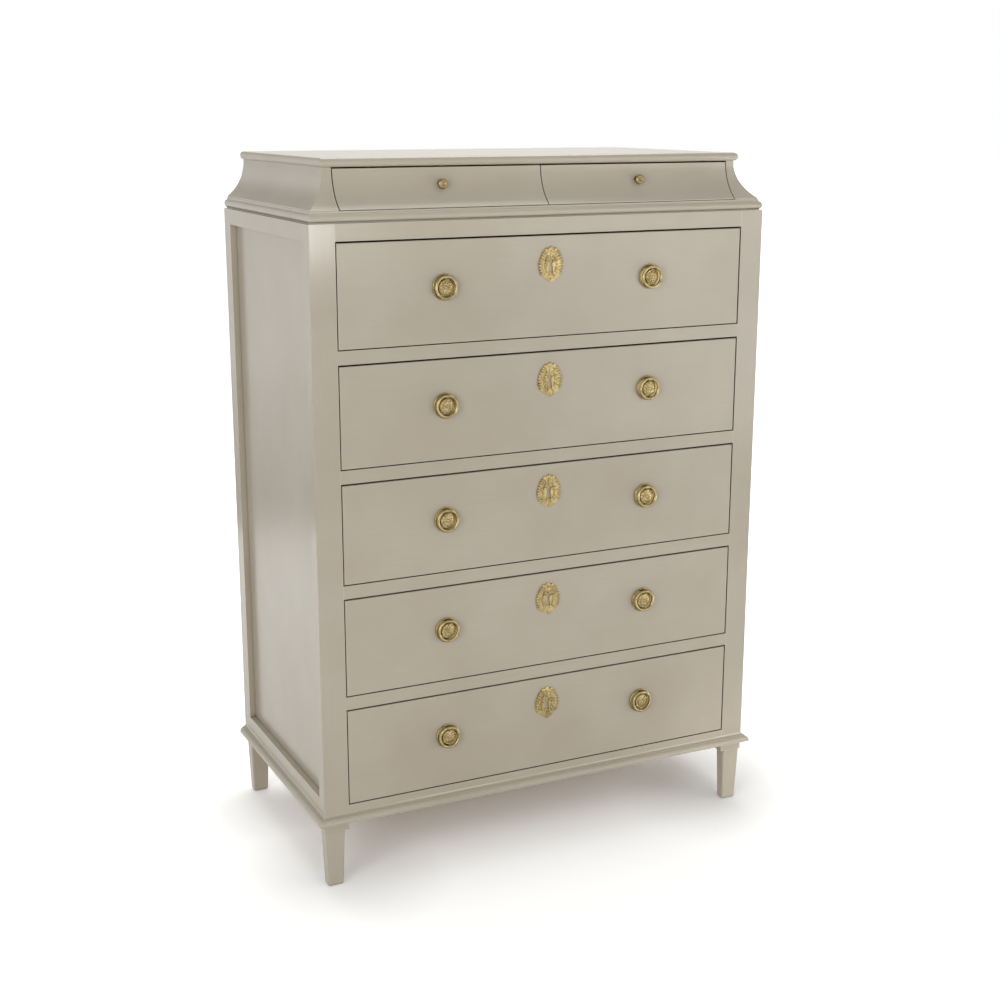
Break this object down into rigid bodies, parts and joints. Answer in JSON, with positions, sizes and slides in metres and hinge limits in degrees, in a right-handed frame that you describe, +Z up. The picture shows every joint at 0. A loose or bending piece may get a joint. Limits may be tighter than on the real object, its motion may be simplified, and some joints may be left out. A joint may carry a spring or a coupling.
{
  "type": "semainier chest of drawers",
  "caption": "Tall painted chest of long drawers on tapered feet, with small drawers in a coved stage under its top, brass ring pulls and key plates.",
  "frame": {"origin": "on the floor, midway across the chest and midway between the lip of the base moulding and the back", "axes": "+X to the chest's left as it faces the room, seen to the right from in front; the front faces -Y; +Z up"},
  "size_m": [0.924, 0.497, 1.303],
  "materials": {
    "paint": "warm grey-beige satin paint, brushed",
    "drawer_wood": "bare planed hardwood",
    "back_board": "bare plywood",
    "brass": "antique brass, dark in its hollows",
    "screw_steel": "zinc plated"
  },
  "bodies": {
    "case": {"top_board": "paint", "cove_cheeks": "paint", "upper_divider": "drawer_wood", "upper_deck": "drawer_wood", "waist_moulding": "paint", "front_stiles": "paint", "front_rails": "paint", "back_stiles": "paint", "frame_rails": "paint", "side_panels": "paint", "back_panels": "back_board", "back_screws": "screw_steel", "drawer_runners": "drawer_wood", "drawer_guides": "drawer_wood", "drawer_stops": "drawer_wood", "base_moulding": "paint", "feet": "paint"},
    "drawer_1": {"drawer_1_front": "paint", "drawer_1_box": "drawer_wood", "drawer_1_bottom": "back_board", "drawer_1_pull_plates": "brass", "drawer_1_escutcheon": "brass"},
    "drawer_1_ring_left": {"drawer_1_ring_left": "brass"},
    "drawer_1_ring_right": {"drawer_1_ring_right": "brass"},
    "drawer_2": {"drawer_2_front": "paint", "drawer_2_box": "drawer_wood", "drawer_2_bottom": "back_board", "drawer_2_pull_plates": "brass", "drawer_2_escutcheon": "brass"},
    "drawer_2_ring_left": {"drawer_2_ring_left": "brass"},
    "drawer_2_ring_right": {"drawer_2_ring_right": "brass"},
    "drawer_3": {"drawer_3_front": "paint", "drawer_3_box": "drawer_wood", "drawer_3_bottom": "back_board", "drawer_3_pull_plates": "brass", "drawer_3_escutcheon": "brass"},
    "drawer_3_ring_left": {"drawer_3_ring_left": "brass"},
    "drawer_3_ring_right": {"drawer_3_ring_right": "brass"},
    "drawer_4": {"drawer_4_front": "paint", "drawer_4_box": "drawer_wood", "drawer_4_bottom": "back_board", "drawer_4_pull_plates": "brass", "drawer_4_escutcheon": "brass"},
    "drawer_4_ring_left": {"drawer_4_ring_left": "brass"},
    "drawer_4_ring_right": {"drawer_4_ring_right": "brass"},
    "drawer_5": {"drawer_5_front": "paint", "drawer_5_box": "drawer_wood", "drawer_5_bottom": "back_board", "drawer_5_pull_plates": "brass", "drawer_5_escutcheon": "brass"},
    "drawer_5_ring_left": {"drawer_5_ring_left": "brass"},
    "drawer_5_ring_right": {"drawer_5_ring_right": "brass"},
    "small_drawer_left": {"small_drawer_left_front": "paint", "small_drawer_left_box": "drawer_wood", "small_drawer_left_bottom": "back_board", "small_drawer_left_knob": "brass"},
    "small_drawer_right": {"small_drawer_right_front": "paint", "small_drawer_right_box": "drawer_wood", "small_drawer_right_bottom": "back_board", "small_drawer_right_knob": "brass"}
  },
  "joints": [
    {"name": "drawer_1_slide", "type": "slide", "parent": "case", "child": "drawer_1", "axis": [0, -1, 0], "range_m": [0, 0.33]},
    {"name": "drawer_1_ring_left_hinge", "type": "hinge", "parent": "drawer_1", "child": "drawer_1_ring_left", "pos_m": [-0.206, -0.2453, 1.10289], "axis": [-1, 0, 0], "range_deg": [-4, 170]},
    {"name": "drawer_1_ring_right_hinge", "type": "hinge", "parent": "drawer_1", "child": "drawer_1_ring_right", "pos_m": [0.206, -0.2453, 1.10289], "axis": [-1, 0, 0], "range_deg": [-4, 170]},
    {"name": "drawer_2_slide", "type": "slide", "parent": "case", "child": "drawer_2", "axis": [0, -1, 0], "range_m": [0, 0.33]},
    {"name": "drawer_2_ring_left_hinge", "type": "hinge", "parent": "drawer_2", "child": "drawer_2_ring_left", "pos_m": [-0.206, -0.2453, 0.89589], "axis": [-1, 0, 0], "range_deg": [-4, 170]},
    {"name": "drawer_2_ring_right_hinge", "type": "hinge", "parent": "drawer_2", "child": "drawer_2_ring_right", "pos_m": [0.206, -0.2453, 0.89589], "axis": [-1, 0, 0], "range_deg": [-4, 170]},
    {"name": "drawer_3_slide", "type": "slide", "parent": "case", "child": "drawer_3", "axis": [0, -1, 0], "range_m": [0, 0.33]},
    {"name": "drawer_3_ring_left_hinge", "type": "hinge", "parent": "drawer_3", "child": "drawer_3_ring_left", "pos_m": [-0.206, -0.2453, 0.68889], "axis": [-1, 0, 0], "range_deg": [-4, 170]},
    {"name": "drawer_3_ring_right_hinge", "type": "hinge", "parent": "drawer_3", "child": "drawer_3_ring_right", "pos_m": [0.206, -0.2453, 0.68889], "axis": [-1, 0, 0], "range_deg": [-4, 170]},
    {"name": "drawer_4_slide", "type": "slide", "parent": "case", "child": "drawer_4", "axis": [0, -1, 0], "range_m": [0, 0.33]},
    {"name": "drawer_4_ring_left_hinge", "type": "hinge", "parent": "drawer_4", "child": "drawer_4_ring_left", "pos_m": [-0.206, -0.2453, 0.48189], "axis": [-1, 0, 0], "range_deg": [-4, 170]},
    {"name": "drawer_4_ring_right_hinge", "type": "hinge", "parent": "drawer_4", "child": "drawer_4_ring_right", "pos_m": [0.206, -0.2453, 0.48189], "axis": [-1, 0, 0], "range_deg": [-4, 170]},
    {"name": "drawer_5_slide", "type": "slide", "parent": "case", "child": "drawer_5", "axis": [0, -1, 0], "range_m": [0, 0.33]},
    {"name": "drawer_5_ring_left_hinge", "type": "hinge", "parent": "drawer_5", "child": "drawer_5_ring_left", "pos_m": [-0.206, -0.2453, 0.27489], "axis": [-1, 0, 0], "range_deg": [-4, 170]},
    {"name": "drawer_5_ring_right_hinge", "type": "hinge", "parent": "drawer_5", "child": "drawer_5_ring_right", "pos_m": [0.206, -0.2453, 0.27489], "axis": [-1, 0, 0], "range_deg": [-4, 170]},
    {"name": "small_drawer_left_slide", "type": "slide", "parent": "case", "child": "small_drawer_left", "axis": [0, -1, 0], "range_m": [0, 0.28]},
    {"name": "small_drawer_right_slide", "type": "slide", "parent": "case", "child": "small_drawer_right", "axis": [0, -1, 0], "range_m": [0, 0.28]}
  ]
}
